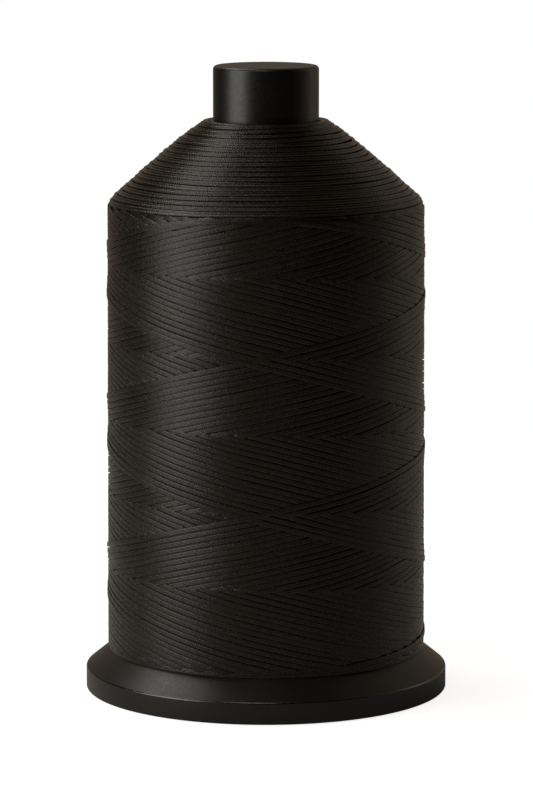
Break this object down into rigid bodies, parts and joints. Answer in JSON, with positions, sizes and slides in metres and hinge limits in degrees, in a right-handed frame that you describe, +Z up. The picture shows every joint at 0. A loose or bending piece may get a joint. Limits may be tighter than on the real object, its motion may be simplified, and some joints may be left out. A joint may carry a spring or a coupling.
{
  "type": "waxed thread spool",
  "caption": "Tall moulded plastic spool with a wide sloped foot, a narrow closed neck cap and a cross-wound package of waxed thread with a conical shoulder.",
  "frame": {"origin": "middle of the face that the spool stands on", "axes": "+Z up along the spool's axis, from the foot to the neck cap"},
  "size_m": [0.076, 0.076, 0.131],
  "materials": {
    "spool_plastic": "black moulded plastic, satin",
    "cap_plastic": "black moulded plastic, satin, fine even mould texture",
    "waxed_thread": "black braided polyester thread, waxed, soft sheen"
  },
  "bodies": {
    "spool": {"base_flange": "spool_plastic", "barrel": "spool_plastic", "thread_core": "waxed_thread", "body_winding": "waxed_thread", "shoulder_winding": "waxed_thread"},
    "cap": {"neck_cap": "cap_plastic"}
  },
  "joints": [
    {"name": "cap_lift", "type": "slide", "parent": "spool", "child": "cap", "axis": [0, 0, 1], "range_m": [0, 0.018]}
  ]
}
